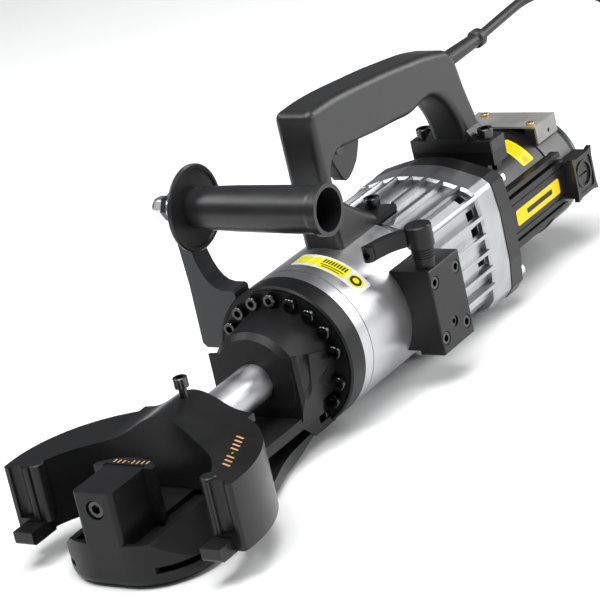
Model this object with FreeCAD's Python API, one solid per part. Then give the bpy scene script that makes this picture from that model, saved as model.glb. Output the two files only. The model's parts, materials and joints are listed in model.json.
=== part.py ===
import FreeCAD, Part
import math
import os

# Portable electro-hydraulic rebar bender. A piston rod pushes a U-shaped head past a
# fixed post, and bends a bar round the former that sits behind the post.
#
# The shapes are drawn in the tool's own axes: X runs along the ram from the nose (-X)
# to the motor (+X), Z is up and Y = Z = 0 is the ram's axis. save() moves every piece
# to the row frame, whose origin lies on the base plane under the middle of the box.

Vector = FreeCAD.Vector

# ---- driving dimensions, millimetres ----
X_NOSE = -241.0          # front face of the post and of the frame under it
X_TAIL = 391.0           # rear end of the motor
BASE_Z = -60.0           # plane that the frame and the pump housing stand on
ROW_SHIFT = Vector(-(X_NOSE + X_TAIL) / 2, 0, -BASE_Z)

SLIP = 0.05              # radial running clearance
GAP = 0.3                # air between parts that only pass each other

FLANGE_R = 56.4
FLANGE_END = 17.8
BOLT_CIRCLE_R = 47.2
BOLT_ANGLES = [10 + 20 * k for k in range(9)] + [200, 220, 240, 300, 320, 340]
M6_R = 3.0
M6_HEAD_R = 5.0
M6_HEAD_H = 5.6

NECK_FRONT = -41.7
NECK_BASE_R = 42.0
NECK_TIP_R = 37.5
ROD_R = 14.8
GLAND_R = 20.0
SPRING_CAVITY_R = 27.0
GLAND_BACK = -12.0

RAIL_TOP = -27.0         # upper face of the frame's rail, which the head slides over
RAIL_HALF = 33.5
KEEL_HALF = 57.0
SHOULDER_Z = -44.0
SHOULDER_HALF = 54.0

POST_BACK = -199.0
POST_HALF = 16.5
POST_TOP = 12.0
POST_SCREW_Z = -1.0

CYL_END = 122.0
BORE_R = 38.0
BORE_BACK = 112.0
PISTON_FRONT = 26.0
PISTON_BACK = 44.0

HEAD_TOP = 11.5
HEAD_BOTTOM = -38.0
HEAD_BACK = -110.0
HEAD_R = 97.0
HEAD_CENTRE = -203.0
CAVITY_R = 78.0
CAVITY_CENTRE = -232.0
TIP_FRONT = -214.0
HOOD_TOP = 27.0          # crest of the raised middle of the head, over the rod
ROD_FRONT = -145.0
NOSE_PIN_X = -206.0
NOSE_PIN_Y = 73.5
NOSE_PIN_R = 6.0
SET_SCREW_X = -122.0

FORMER_CENTRE = -224.0
FORMER_R = 35.5
FORMER_HALF = 25.0

BLOCK_X = (83.65, 126.9)
BLOCK_Y = -79.8
BLOCK_HALF = 33.2
LEVER_X = 95.5
LEVER_Y = -70.5

HOUSING_RIBS_END = 200.0
HOUSING_END = 225.0
PLATE_END = 243.0
HOUSING_HALF = 58.0
HOUSING_PAD_Z = 49.8
RIB_ANGLES = [13 * k for k in range(-9, 10)] + [146, 160, 180, 200, 214]
VENT_ANGLES = [45.5, 58.5, 71.5, 97.5]

MOTOR_R = 46.0
MOTOR_INNER_R = 43.0
CASING_END = 332.0
BRUSH_BOX_FRONT = 341.0
BRUSH_X = 355.5
BRUSH_FACE_Y = 58.6
COVER_Z = 47.0
COVER_X = (333.0, 365.0)
COVER_HALF = 35.0
COVER_SCREWS = ((357.0, 24.0), (337.5, -29.0))

PINION_TEETH = 12
GEAR_TEETH = 40
MODULE = 1.0
SHAFT_DROP = (PINION_TEETH + GEAR_TEETH) * MODULE / 2
ECCENTRICITY = 2.5

GRIP_X = 10.5            # axis of the side grip's bolt
GRIP_Z = 112.5
GRIP_END = -58.5
GUARD_FACE = 57.0
ARM_Y = (64.5, 75.0)     # the bracket arm's two sides at the grip

HANDLE_HALF = 16.5
HANDLE_SKIN = 3.5
FOOT_HALF = 37.0
FOOT_X = (263.5, 285.0)  # the rear foot lies on a pedestal of the same plan
FOOT_Z = (54.0, 63.3)
REAR_SCREW = (273.0, 28.0)
TOE_Z = (53.4, 57.8)     # the front foot lies on a loose pad
TOE_SCREW_X = 145.3
TRIGGER_PIVOT = (101.0, 122.5)
TRIGGER_HALF = 5.2

CORD_R = 4.0
CORD_ROUTE = [
    (337, 0, 124), (373, 0, 126.5), (408, -3, 130.5), (438, -18, 129), (458, -42, 114), (466, -63, 88),
    (468, -77, 56), (469, -87, 24), (474, -96, -6), (486, -103, -31), (507, -109, -49), (536, -112, -56),
    (560.6, -101.7, -56), (575.8, -82.5, -56), (581.0, -59.6, -56),
]
COIL_CENTRE = (527.0, -52.0)
COIL_OUTER_R = 56.0
COIL_INNER_R = 32.0
COIL_HEIGHT = 16.0


# ---- shape helpers ----
def rod_x(x0, x1, r, y=0.0, z=0.0):
    return Part.makeCylinder(r, x1 - x0, Vector(x0, y, z), Vector(1, 0, 0))


def rod_y(y0, y1, r, x, z):
    return Part.makeCylinder(r, y1 - y0, Vector(x, y0, z), Vector(0, 1, 0))


def rod_z(z0, z1, r, x, y):
    return Part.makeCylinder(r, z1 - z0, Vector(x, y, z0), Vector(0, 0, 1))


def cone_x(x0, x1, r0, r1, y=0.0, z=0.0):
    return Part.makeCone(r0, r1, x1 - x0, Vector(x0, y, z), Vector(1, 0, 0))


def cone_z(z0, z1, r0, r1, x, y):
    return Part.makeCone(r0, r1, z1 - z0, Vector(x, y, z0), Vector(0, 0, 1))


def ring_x(x0, x1, r_out, r_in, y=0.0, z=0.0):
    return rod_x(x0, x1, r_out, y, z).cut(rod_x(x0 - 1, x1 + 1, r_in, y, z))


def block(x0, x1, y0, y1, z0, z1):
    return Part.makeBox(x1 - x0, y1 - y0, z1 - z0, Vector(x0, y0, z0))


def slab(x0, x1, half, z0, z1):
    """A block centred on the tool's middle plane."""
    return block(x0, x1, -half, half, z0, z1)


def prism_z(points, z0, z1):
    wire = Part.makePolygon([Vector(x, y, z0) for x, y in points + points[:1]])
    return Part.Face(wire).extrude(Vector(0, 0, z1 - z0))


def prism_x(points, x0, x1):
    wire = Part.makePolygon([Vector(x0, y, z) for y, z in points + points[:1]])
    return Part.Face(wire).extrude(Vector(x1 - x0, 0, 0))


def prism_y(points, y0, y1):
    wire = Part.makePolygon([Vector(x, y0, z) for x, z in points + points[:1]])
    return Part.Face(wire).extrude(Vector(0, y1 - y0, 0))


def mirrored(shape):
    return shape.mirror(Vector(0, 0, 0), Vector(0, 1, 0))


def both_sides(shape):
    return shape.fuse(mirrored(shape))


def fuse_all(shapes):
    return shapes[0].multiFuse(shapes[1:]).removeSplitter()


def hexagon(across_flats, length, start, direction):
    """A hexagonal prism from start along direction."""
    r = across_flats / math.sqrt(3)
    points = []
    for k in range(7):
        turn = math.radians(60 * k)
        points.append(Vector(r * math.cos(turn), r * math.sin(turn), 0))
    solid = Part.Face(Part.makePolygon(points)).extrude(Vector(0, 0, length))
    solid.Placement = FreeCAD.Placement(start, FreeCAD.Rotation(Vector(0, 0, 1), direction))
    return solid


def cap_screw(seat, direction, head_r, head_h, shank_r, shank_l):
    """A socket head cap screw: direction points from the seat into the work."""
    back = direction.negative()
    head = Part.makeCylinder(head_r, head_h, seat, back)
    top = [e for e in head.Edges if abs((e.CenterOfMass - seat).dot(back) - head_h) < 0.01]
    head = head.makeChamfer(0.08 * head_r, top)
    mouth = seat + back * (head_h + 0.01)
    head = head.cut(hexagon(head_r, 0.6 * head_h, mouth, direction))
    shank = Part.makeCylinder(shank_r, shank_l, seat, direction)
    return head.fuse(shank)


def edges_where(shape, test):
    return [e for e in shape.Edges if test(e.BoundBox)]


def is_upright(box, low=1.0):
    return box.XLength < 0.01 and box.YLength < 0.01 and box.ZLength > low


def move(shape, x=0.0, y=0.0, z=0.0):
    other = shape.copy()
    other.translate(Vector(x, y, z))
    return other


made = {}


def save(name, *solids):
    """Keeps a node: one or more separate solids, moved to the row frame."""
    whole = solids[0] if len(solids) == 1 else Part.makeCompound(list(solids))
    made[name] = move(whole, ROW_SHIFT.x, ROW_SHIFT.y, ROW_SHIFT.z)


# ---- frame casting ----
def keel_plan(inset=0.0, z=0.0):
    """Plan of the frame as a face: narrow under the neck, wide and round at the nose."""
    corner_x = X_NOSE + 45.0
    corner_y = KEEL_HALF - 45.0
    corner_r = 45.0 - inset
    wide = corner_y + corner_r
    side = [(0, 26), (-34, 28), (-65, 32), (-99, 43), (-125, 50), (-165, 56.6)]
    points = [Vector(x, y - inset, z) for x, y in side] + [Vector(corner_x, wide, z)]
    spline = Part.BSplineCurve()
    spline.interpolate(Points=points, InitialTangent=Vector(-1, 0, 0), FinalTangent=Vector(-1, 0, 0))
    diagonal = corner_r / math.sqrt(2)
    corner = Part.Arc(
        Vector(corner_x, wide, z),
        Vector(corner_x - diagonal, corner_y + diagonal, z),
        Vector(corner_x - corner_r, corner_y, z),
    )
    half = [spline.toShape(), corner.toShape()]
    front = Vector(corner_x - corner_r, corner_y, z)
    rear = points[0]
    ends = [
        Part.makeLine(front, Vector(front.x, -front.y, z)),
        Part.makeLine(rear, Vector(rear.x, -rear.y, z)),
    ]
    edges = half + [mirrored(e) for e in half] + ends
    return Part.Face(Part.Wire(Part.__sortEdges__(edges)))


def keel_prism(z0, z1, inset=0.0):
    return keel_plan(inset, z0).extrude(Vector(0, 0, z1 - z0))


def frame_casting():
    flange = rod_x(0, FLANGE_END, FLANGE_R)
    front_rim = edges_where(flange, lambda b: b.XMax < 0.01 and b.YLength > 1)
    flange = flange.makeChamfer(1.4, front_rim)
    flange = flange.cut(ring_x(-1, 0.8, 54.2, 53.3))
    neck = cone_x(-37, 0, NECK_TIP_R, NECK_BASE_R)
    neck_lip = cone_x(NECK_FRONT, -37, 33.5, NECK_TIP_R)

    # beam: a rail on top, a keel below and a web between, solid at the nose
    rail = slab(-150, 5, RAIL_HALF, RAIL_TOP - 8, RAIL_TOP)
    keel = keel_prism(BASE_Z, SHOULDER_Z - 2)
    lower = edges_where(keel, lambda b: b.ZMax < BASE_Z + 0.01 and b.XMin < -1)
    keel = keel.makeFillet(7.5, lower)
    web = slab(-190, 5, 14, BASE_Z + 4, RAIL_TOP)
    nose = keel_prism(SHOULDER_Z - 3, RAIL_TOP).common(slab(-300, -120, 80, -80, 0))
    shoulder = [
        (RAIL_HALF, RAIL_TOP), (SHOULDER_HALF, SHOULDER_Z), (80, SHOULDER_Z), (80, 0), (RAIL_HALF, 0),
    ]
    nose = nose.cut(both_sides(prism_x(shoulder, -300, -100)))
    beam = fuse_all([rail, keel, web, nose])
    underside = prism_y([(-70, BASE_Z - 1), (30, BASE_Z - 1), (30, -36), (0, -43), (-70, BASE_Z)], -80, 80)
    beam = beam.cut(underside)

    # the neck's sides run straight down to the rail, each with one groove that fades out downwards
    plan = [(-41.5, 36), (-38.5, 38.2), (-20, 40.3), (2, 42.5)]
    fairing = prism_z(plan + [(x, -y) for x, y in reversed(plan)], RAIL_TOP - 8, 30)
    fairing = fairing.common(prism_y([(-50, -50), (5, -50), (5, 8), (-50, 23)], -50, 50))
    taper = [(48, 40), (48, 26), (38.5, -12), (32.5, -35)]
    fairing = fairing.common(prism_x(taper + [(-y, z) for y, z in reversed(taper)], -50, 5))
    for side in (-1, 1):
        start = Vector(-36.4, side * 44.6, -24)
        fairing = fairing.cut(Part.makeCylinder(5.5, 60, start, Vector(0.14, -side * 0.13, 1)))
    gusset = prism_y([(-40, -34), (5, -34), (5, -50), (-22, -50)], 14, 28)
    body = fuse_all([flange, neck, neck_lip, beam, fairing, gusset, mirrored(gusset)])

    # the post, flush with the frame's front
    post = block(X_NOSE, POST_BACK, -POST_HALF, POST_HALF, RAIL_TOP - 2, POST_TOP)
    front = edges_where(post, lambda b: is_upright(b) and b.XMax < X_NOSE + 1)
    post = post.makeFillet(3.5, front)
    body = body.fuse(post)

    # open channel on each side of the post and slit round the nose's shoulder
    channel = block(X_NOSE + 5, -150, POST_HALF, 28, RAIL_TOP - 4, RAIL_TOP + 1)
    body = body.cut(both_sides(channel))
    slit_band = keel_prism(SHOULDER_Z - 5.2, SHOULDER_Z - 0.5)
    slit_core = keel_prism(SHOULDER_Z - 6, SHOULDER_Z + 1, 7.0)
    slit = slit_band.cut(slit_core).common(both_sides(block(-260, -119, 34, 90, -80, 0)))
    body = body.cut(slit)

    # bores: gland seat, spring room, flange bolts and the former's screw
    body = body.cut(rod_x(NECK_FRONT - 1, 0, ROD_R + 0.5))
    body = body.cut(rod_x(-38, GLAND_BACK, GLAND_R))
    body = body.cut(rod_x(GLAND_BACK, FLANGE_END + 1, SPRING_CAVITY_R))
    for angle in BOLT_ANGLES:
        y, z = bolt_place(angle)
        body = body.cut(rod_x(-14, 0, M6_HEAD_R + 0.7, y, z))
        body = body.cut(rod_x(-1, FLANGE_END + 1, M6_R + SLIP, y, z))
    body = body.cut(rod_x(X_NOSE - 1, POST_BACK + 1, 4 + SLIP, 0, POST_SCREW_Z))
    body = body.cut(rod_x(X_NOSE - 1, X_NOSE + 9, 7.2, 0, POST_SCREW_Z))
    save("frame_casting", body)


def bolt_place(angle):
    turn = math.radians(angle)
    return BOLT_CIRCLE_R * math.cos(turn), BOLT_CIRCLE_R * math.sin(turn)


def flange_bolts():
    bolts = []
    for angle in BOLT_ANGLES:
        y, z = bolt_place(angle)
        seat = Vector(0, y, z)
        bolts.append(cap_screw(seat, Vector(1, 0, 0), M6_HEAD_R, M6_HEAD_H, M6_R, 30))
    save("flange_bolts", *bolts)


def gland():
    save("rod_wiper", ring_x(-38, -32, GLAND_R, ROD_R + SLIP))
    save("rod_bush", ring_x(-32, GLAND_BACK, GLAND_R, ROD_R + SLIP))


def former():
    disc = rod_z(RAIL_TOP + 0.2, POST_TOP + 0.8, FORMER_R, FORMER_CENTRE, 0)
    keep = slab(POST_BACK - 4, FORMER_CENTRE + FORMER_R + 1, FORMER_HALF, -60, 60)
    slot = slab(-260, POST_BACK, POST_HALF + SLIP, -60, 60)
    body = disc.common(keep).cut(slot)
    corners = edges_where(body, lambda b: is_upright(b) and b.XMin > POST_BACK and abs(b.YMin) > 20)
    body = body.makeFillet(3.0, corners)
    body = body.cut(rod_x(POST_BACK - 1, -191.5, 4 + SLIP, 0, POST_SCREW_Z))
    save("former", body)
    seat = Vector(X_NOSE + 9, 0, POST_SCREW_Z)
    save("former_screw", cap_screw(seat, Vector(1, 0, 0), 6.5, 7.5, 4.0, 39.5))


# ---- ram: rod, piston and U head ----
def ram():
    rod = rod_x(ROD_FRONT, PISTON_FRONT, ROD_R)
    nose = edges_where(rod, lambda b: b.XMax < ROD_FRONT + 0.01 and b.YLength > 1)
    rod = rod.makeChamfer(1.5, nose).fuse(rod_x(PISTON_FRONT, PISTON_BACK, 11.0))
    save("piston_rod", rod.removeSplitter())
    piston = rod_x(PISTON_FRONT, PISTON_BACK, BORE_R - 2 * SLIP)
    piston = piston.cut(rod_x(PISTON_FRONT - 1, PISTON_BACK + 1, 11.0))
    seal_x = (PISTON_FRONT + 5, PISTON_FRONT + 9.5)
    wear_x = (PISTON_FRONT + 13, PISTON_FRONT + 15.5)
    piston = piston.cut(ring_x(seal_x[0], seal_x[1], BORE_R + 1, 33.5))
    piston = piston.cut(ring_x(wear_x[0], wear_x[1], BORE_R + 1, 35.5))
    save("piston", piston)
    seal = ring_x(seal_x[0], seal_x[1], BORE_R - SLIP, 33.5)
    wear = ring_x(wear_x[0], wear_x[1], BORE_R - SLIP, 35.5)
    save("piston_rings", seal, wear)
    save("return_spring", helix_x(-7.6, PISTON_FRONT, 22.5, 2.0, 5))


def helix_x(x0, x1, coil_r, wire_r, turns, y=0.0, z=0.0):
    """A compression spring along X, made of tilted rings joined into one coil."""
    length = x1 - x0 - 2 * wire_r
    path = Part.makeHelix(length / turns, length, coil_r)
    profile = Part.Wire(Part.makeCircle(wire_r, Vector(coil_r, 0, 0), Vector(0, 1, 0)))
    coil = Part.Wire(path).makePipeShell([profile], True, True)
    solid = Part.Solid(coil) if coil.ShapeType == "Shell" else coil
    start = Vector(x0 + wire_r, y, z)
    solid.Placement = FreeCAD.Placement(start, FreeCAD.Rotation(Vector(0, 0, 1), Vector(1, 0, 0)))
    return solid


def helix_z(z0, z1, coil_r, wire_r, turns, x, y):
    spring = helix_x(0, z1 - z0, coil_r, wire_r, turns)
    spring.rotate(Vector(0, 0, 0), Vector(0, 1, 0), -90)
    return move(spring, x, y, z0)


def head_hood():
    """The bell-shaped rise over the rod; its front is hollowed with the rest of the head."""
    half = [(0, HOOD_TOP), (6, 26.3), (12, 24.3), (19, 20.7), (26, 16.6), (33, 13.5), (40, 12.0), (47, 11.4)]
    points = [(-y, z) for y, z in reversed(half[1:])] + half
    spline = Part.BSplineCurve()
    spline.interpolate([Vector(-170, y, z) for y, z in points])
    low = HEAD_TOP - 6
    corners = [Vector(-170, 47, 11.4), Vector(-170, 47, low), Vector(-170, -47, low), Vector(-170, -47, 11.4)]
    wire = Part.Wire([spline.toShape()] + Part.makePolygon(corners).Edges)
    return Part.Face(wire).extrude(Vector(HEAD_BACK + 170, 0, 0))


def u_head():
    plate = rod_z(HEAD_BOTTOM, HEAD_TOP, HEAD_R, HEAD_CENTRE, 0)
    plate = plate.common(slab(TIP_FRONT, HEAD_BACK, 120, -80, 80))
    rear = edges_where(plate, lambda b: is_upright(b) and b.XMax > HEAD_BACK - 1)
    plate = plate.makeFillet(14.0, rear)
    body = plate.fuse(head_hood())
    body = body.cut(rod_z(-80, 80, CAVITY_R, CAVITY_CENTRE, 0))

    # arms end in a grooved face beside each nose pin
    tips = edges_where(body, lambda b: is_upright(b, 20) and b.XMax < TIP_FRONT + 0.1 and b.YLength < 0.1)
    body = body.makeFillet(2.5, tips)
    body = body.cut(both_sides(rod_z(RAIL_TOP, 80, 6.5, TIP_FRONT - 1.5, 85.5)))
    toe = block(-230, -203, 71.5, 88, HEAD_BOTTOM - 1.5, RAIL_TOP - 2.5)
    toe_front = edges_where(toe, lambda b: b.XMax < -229.9 and b.ZMax < HEAD_BOTTOM and b.YLength > 5)
    toe = toe.makeFillet(3.0, toe_front)
    body = body.fuse(both_sides(toe))
    body = body.cut(block(-204, -100, -120, 120, -60, HEAD_BOTTOM))

    # underside follows the rail and its sloping shoulders
    saddle = [
        (-58, -60), (-58, SHOULDER_Z + 0.8), (-SHOULDER_HALF - 1, SHOULDER_Z + 0.8),
        (-RAIL_HALF - 1.2, RAIL_TOP + 0.8), (RAIL_HALF + 1.2, RAIL_TOP + 0.8),
        (SHOULDER_HALF + 1, SHOULDER_Z + 0.8), (58, SHOULDER_Z + 0.8), (58, -60),
    ]
    body = body.cut(prism_x(saddle, -300, -100))

    body = body.cut(rod_x(ROD_FRONT, HEAD_BACK + 1, ROD_R + 0.02))
    body = body.cut(rod_z(5, 40, M6_R + SLIP, SET_SCREW_X, 0))
    body = body.cut(both_sides(rod_z(RAIL_TOP - 3, 40, NOSE_PIN_R + 0.02, NOSE_PIN_X, NOSE_PIN_Y)))
    save("u_head", body.removeSplitter())

    pins = []
    for side in (-1, 1):
        pin = rod_z(RAIL_TOP - 3, HEAD_TOP + 1.2, NOSE_PIN_R, NOSE_PIN_X, side * NOSE_PIN_Y)
        top = edges_where(pin, lambda b: b.ZMin > HEAD_TOP and b.YLength > 1)
        pins.append(pin.makeChamfer(0.8, top))
    save("nose_pins", *pins)
    seat = Vector(SET_SCREW_X, 0, 34.5)
    save("head_set_screw", cap_screw(seat, Vector(0, 0, -1), 5.2, 7.6, M6_R, 34.5 - ROD_R))


# ---- cylinder, valve block and lever ----
def cylinder_body():
    body = rod_x(FLANGE_END, CYL_END, FLANGE_R)
    rims = edges_where(body, lambda b: b.XMin > CYL_END - 0.01 and b.YLength > 1)
    body = body.makeChamfer(1.0, rims)
    body = body.cut(rod_x(FLANGE_END - 1, BORE_BACK, BORE_R))
    body = body.cut(ring_x(28.4, 29.4, FLANGE_R + 1, FLANGE_R - 0.7))
    for angle in BOLT_ANGLES:
        y, z = bolt_place(angle)
        body = body.cut(rod_x(FLANGE_END - 1, 32, M6_R + SLIP, y, z))
    for x, z in block_screw_places():
        body = body.cut(rod_y(-60, -44, M6_R + SLIP, x, z))
    body = body.cut(rod_x(BORE_BACK - 1, CYL_END + 1, 3.0, 0, 20))
    for y, z in pump_screw_places():
        body = body.cut(rod_x(BORE_BACK + 1, CYL_END + 1, M6_R + SLIP, y, z))
    save("cylinder_body", body)


def block_screw_places():
    return [(89.3, 22.4), (119.6, 22.4), (89.3, -21.8), (119.6, -21.8)]


def pump_screw_places():
    return [(30 * math.cos(math.radians(a)), 30 * math.sin(math.radians(a))) for a in (45, 135, 225, 315)]


def valve_block():
    body = block(BLOCK_X[0], BLOCK_X[1], BLOCK_Y, -40, -BLOCK_HALF, BLOCK_HALF)
    body = body.cut(rod_x(60, 150, FLANGE_R + SLIP))
    body = body.cut(block(60, 150, -58.5, -40, -BLOCK_HALF - 1, -BLOCK_HALF + 3))
    corners = edges_where(body, lambda b: b.YMax < BLOCK_Y + 0.01 and max(b.XLength, b.ZLength) > 10)
    body = body.makeChamfer(0.8, corners)
    for x, z in block_screw_places():
        body = body.cut(rod_y(BLOCK_Y - 1, BLOCK_Y + 6, 5.3, x, z))
        body = body.cut(rod_y(BLOCK_Y, -40, M6_R + SLIP, x, z))
    body = body.cut(rod_y(BLOCK_Y - 1, BLOCK_Y + 8, 4.3, 104.2, -14.5))
    body = body.cut(rod_z(27.6, BLOCK_HALF + 1, 7.0 + SLIP, LEVER_X, LEVER_Y))
    body = body.cut(rod_z(5, 30, 2.85 + SLIP, LEVER_X, LEVER_Y))
    save("valve_block", body)
    plug = rod_y(BLOCK_Y + 1, BLOCK_Y + 8, 4.2, 104.2, -14.5)
    plug = plug.cut(hexagon(4.0, 3.5, Vector(104.2, BLOCK_Y + 0.9, -14.5), Vector(0, 1, 0)))
    save("valve_block_plug", plug)


def curved_arm(centres, wide, narrow):
    """Plan of a curved bar at Z = 50.5, tapering from wide to narrow along its middle line."""
    sides = ([], [])
    last = len(centres) - 1
    for k, (x, y) in enumerate(centres):
        before = Vector(*centres[max(k - 1, 0)])
        after = Vector(*centres[min(k + 1, last)])
        along = (after - before).normalize()
        half = 0.5 * (wide + (narrow - wide) * k / last)
        across = Vector(-along.y, along.x, 0) * half
        sides[0].append(Vector(x, y, 50.5) + across)
        sides[1].append(Vector(x, y, 50.5) - across)
    edges = []
    for side in sides:
        spline = Part.BSplineCurve()
        spline.interpolate(side)
        edges.append(spline.toShape())
    edges.append(Part.makeLine(sides[0][0], sides[1][0]))
    edges.append(Part.makeLine(sides[0][-1], sides[1][-1]))
    return Part.Face(Part.Wire(Part.__sortEdges__(edges)))


def release_valve():
    """A threaded gland in the block's top face, and the lever that turns its spindle."""
    gland_top = 49.0
    collar = rod_z(BLOCK_HALF, 40.0, 7.8, LEVER_X, LEVER_Y)
    sleeve = rod_z(39.0, gland_top, 8.5, LEVER_X, LEVER_Y).fuse(rod_z(27.6, 40, 7.0, LEVER_X, LEVER_Y))
    body = collar.fuse(sleeve)
    for k in range(4):
        z = 41.2 + 2.0 * k
        groove = rod_z(z, z + 0.9, 12, LEVER_X, LEVER_Y).cut(rod_z(z - 1, z + 2, 7.8, LEVER_X, LEVER_Y))
        body = body.cut(groove)
    body = body.cut(rod_z(14, gland_top + 1, 4.0 + SLIP, LEVER_X, LEVER_Y))
    save("valve_gland", body)

    hub = rod_z(gland_top + GAP, 66.0, 10.2, LEVER_X, LEVER_Y)
    rims = edges_where(hub, lambda b: b.ZLength < 0.01 and b.ZMin > 60 and b.YLength > 1)
    hub = hub.makeChamfer(1.0, rims)
    arm = curved_arm([(95.5, -68.0), (89.0, -58.5), (80.5, -52.5), (71.0, -49.3), (62.0, -47.0)], 8.0, 6.2)
    end = rod_z(51.0, 62.0, 4.6, 62.0, -47.0)
    lever = fuse_all([hub, arm.extrude(Vector(0, 0, 12.0)), end])
    lever = lever.cut(rod_x(50, 60.5, 2.9, -47.4, 56.5))
    save("release_lever", lever.cut(rod_z(40, 64, 4.0, LEVER_X, LEVER_Y)))
    spindle = fuse_all([
        rod_z(28, 64, 4.0, LEVER_X, LEVER_Y), rod_z(11, 30, 2.85, LEVER_X, LEVER_Y),
        cone_z(8, 11, 0.8, 2.85, LEVER_X, LEVER_Y),
    ])
    save("valve_spindle", spindle)


# ---- side bracket and grip ----
def side_bracket():
    saddle_r = FLANGE_R + SLIP
    low = math.sqrt(saddle_r ** 2 - 5.2 ** 2)
    high = math.sqrt(saddle_r ** 2 - 34.0 ** 2)
    outline = [
        (low - 3, 5.2), (70.0, 5.2), (73.3, 8.5), (73.0, 54.9), (75.0, 88.9), (ARM_Y[1], 122), (73, 127),
        (69, 129), (66, 127), (ARM_Y[0], 122), (ARM_Y[0], 84), (63.2, 76), (60.8, 68), (57.6, 61),
        (54.0, 56.0), (49.5, 52.6), (44.0, 51.2), (36.0, 51.2), (34.0, 49.5), (34.0, high - 3),
    ]
    body = prism_x(outline, 1.5, 19.5)
    body = body.cut(rod_x(0, 30, saddle_r))
    body = body.cut(rod_y(50, 90, 6.0 + SLIP, GRIP_X, GRIP_Z))
    save("side_bracket", body)


def side_grip():
    """A hollow, slightly barrelled grip on a long bolt, with a round hand guard."""
    shape = [(55.5, 14.0), (54.0, 15.6), (20.0, 16.8), (-20.0, 17.4), (-48.0, 17.5), (-51.0, 17.9),
             (-52.0, 19.0), (GRIP_END, 19.0)]
    tube = revolve_y(shape, GRIP_X, GRIP_Z)
    bore = rod_y(GRIP_END - 1, 8.0, 15.8, GRIP_X, GRIP_Z)
    tube = tube.cut(bore).cut(rod_y(0, 60, 6.0 + SLIP, GRIP_X, GRIP_Z))
    save("side_grip", tube)
    guard_shape = [(GUARD_FACE + 3.5, 31.0), (GUARD_FACE + 2.5, 32.2), (GUARD_FACE + 1.0, 32.2),
                   (GUARD_FACE, 31.0)]
    guard = revolve_y(guard_shape, GRIP_X, GRIP_Z)
    dish = revolve_y([(GUARD_FACE + 1.6, 28.0), (GUARD_FACE - 1.0, 29.5)], GRIP_X, GRIP_Z)
    hub = rod_y(55.5, ARM_Y[0], 14.0, GRIP_X, GRIP_Z)
    guard = guard.cut(dish).fuse(hub).cut(rod_y(0, 90, 6.0 + SLIP, GRIP_X, GRIP_Z))
    save("grip_guard", guard.removeSplitter())

    head = hexagon(16.0, 8.0, Vector(GRIP_X, 8.0, GRIP_Z), Vector(0, -1, 0))
    shank = rod_y(8.0, 92.0, 6.0, GRIP_X, GRIP_Z)
    save("grip_bolt", head.fuse(shank))
    washer = rod_y(ARM_Y[1], ARM_Y[1] + 1.6, 11.0, GRIP_X, GRIP_Z)
    save("grip_washer", washer.cut(rod_y(70, 90, 6.0 + SLIP, GRIP_X, GRIP_Z)))
    nut_y = ARM_Y[1] + 1.6
    nut = hexagon(17.0, 6.6, Vector(GRIP_X, nut_y, GRIP_Z), Vector(0, 1, 0))
    save("grip_lock_nut", nut.cut(rod_y(70, 95, 6.0, GRIP_X, GRIP_Z)))
    dome_y = nut_y + 6.6
    dome = revolve_y([(dome_y, 8.6), (dome_y + 4.5, 8.6), (dome_y + 8.5, 7.2), (dome_y + 11.0, 4.6),
                      (dome_y + 12.2, 1.6)], GRIP_X, GRIP_Z)
    flats = hexagon(16.0, 30, Vector(GRIP_X, dome_y - 1, GRIP_Z), Vector(0, 1, 0))
    dome = dome.common(flats).cut(rod_y(dome_y - 1, 92.0, 6.0, GRIP_X, GRIP_Z))
    save("grip_dome_nut", dome)


def revolve_y(shape, x, z):
    """A solid of revolution about a line along Y: shape is (y, radius) points."""
    points = [Vector(x, shape[0][0], z)]
    points += [Vector(x, y, z + r) for y, r in shape]
    points += [Vector(x, shape[-1][0], z), Vector(x, shape[0][0], z)]
    face = Part.Face(Part.makePolygon(points))
    return face.revolve(Vector(x, 0, z), Vector(0, 1, 0), 360)


def revolve_x(shape, y=0.0, z=0.0):
    """A solid of revolution about a line along X: shape is (x, radius) points."""
    points = [Vector(shape[0][0], y, z)]
    points += [Vector(x, y, z + r) for x, r in shape]
    points += [Vector(shape[-1][0], y, z), Vector(shape[0][0], y, z)]
    face = Part.Face(Part.makePolygon(points))
    return face.revolve(Vector(0, y, z), Vector(1, 0, 0), 360)


# ---- top handle ----
def curve(points):
    """A smooth line in the X-Z plane through the points."""
    spline = Part.BSplineCurve()
    spline.interpolate([Vector(x, 0, z) for x, z in points])
    return spline.toShape()


def line(start, end):
    return Part.makeLine(Vector(start[0], 0, start[1]), Vector(end[0], 0, end[1]))


def handle_outline():
    """Side view of the handle in X and Z: front leg, grip bar and raked rear leg."""
    back = [(76, 162), (98, 162.2), (125, 160.5), (152, 157.6), (180, 154.5), (208, 150.5), (236, 146),
            (256, 141)]
    heel = [(256, 141), (268, 134), (273, 122), (277, 105), (282, 89), (289, 66)]
    arch = [(263, 66), (259.0, 81.5), (250.5, 97), (240.0, 108.5), (227, 114), (212, 113), (198, 111.4),
            (183.5, 112.8), (155, 115.5), (127.5, 119.0), (104, 121.8)]
    guard = [(104, 121.8), (92, 120.5), (84.5, 113), (83.0, 102), (87.5, 90), (98, 80), (112, 70), (124, 62.5)]
    edges = [
        line((70.5, 50), (69.0, 154)), curve([(69.0, 154), (70.6, 159.6), (76, 162)]), curve(back),
        curve(heel), line((289, 66), (263, 66)), curve(arch), curve(guard), line((124, 62.5), (124, 50)),
        line((124, 50), (70.5, 50)),
    ]
    return Part.Face(Part.Wire(edges))


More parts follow.
